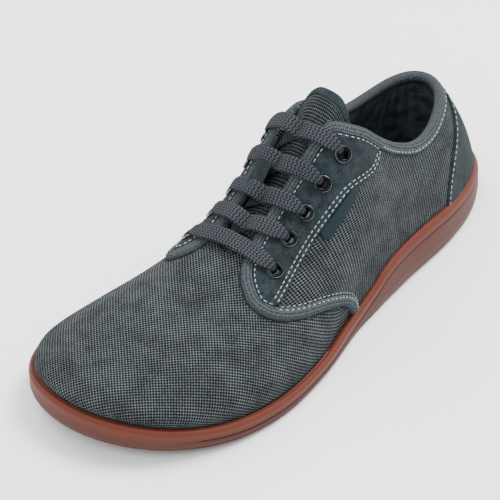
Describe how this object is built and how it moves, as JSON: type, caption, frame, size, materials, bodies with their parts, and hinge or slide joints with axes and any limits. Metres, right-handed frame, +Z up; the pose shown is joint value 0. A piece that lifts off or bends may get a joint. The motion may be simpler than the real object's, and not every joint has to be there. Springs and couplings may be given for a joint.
{
  "type": "barefoot shoe",
  "caption": "Left low-cut laced barefoot shoe with a wide toe, mesh upper, suede eyestays and heel counter, and a thin flexible cup sole.",
  "frame": {"origin": "on the floor, under the middle of the sole's box", "axes": "+X from heel to toe, +Y to the little-toe side, +Z up"},
  "size_m": [0.2864, 0.1126, 0.1024],
  "materials": {
    "gum_rubber": "matte gum rubber",
    "footbed": "cloth-covered foam",
    "grey_mesh": "knitted mesh",
    "suede": "brushed suede",
    "knit_binding": "ribbed knit tape",
    "label": "woven label, bare",
    "lace": "flat braid",
    "eyelet_metal": "dark lacquer"
  },
  "bodies": {
    "root": {"outsole": "gum_rubber", "insole": "footbed", "upper": "grey_mesh", "tongue": "grey_mesh", "tongue_band": "suede", "heel_counter": "suede", "eyestay_lateral": "suede", "eyestay_medial": "suede", "edge_binding": "knit_binding", "side_label": "label", "lace_keeper": "suede", "lace_crossing_1": "lace", "lace_crossing_2": "lace", "lace_crossing_3": "lace", "lace_crossing_4": "lace", "lace_bar": "lace", "eyelet_lateral_1": "eyelet_metal", "eyelet_lateral_2": "eyelet_metal", "eyelet_lateral_3": "eyelet_metal", "eyelet_lateral_4": "eyelet_metal", "eyelet_lateral_5": "eyelet_metal", "eyelet_medial_1": "eyelet_metal", "eyelet_medial_2": "eyelet_metal", "eyelet_medial_3": "eyelet_metal", "eyelet_medial_4": "eyelet_metal", "eyelet_medial_5": "eyelet_metal"}
  },
  "joints": []
}
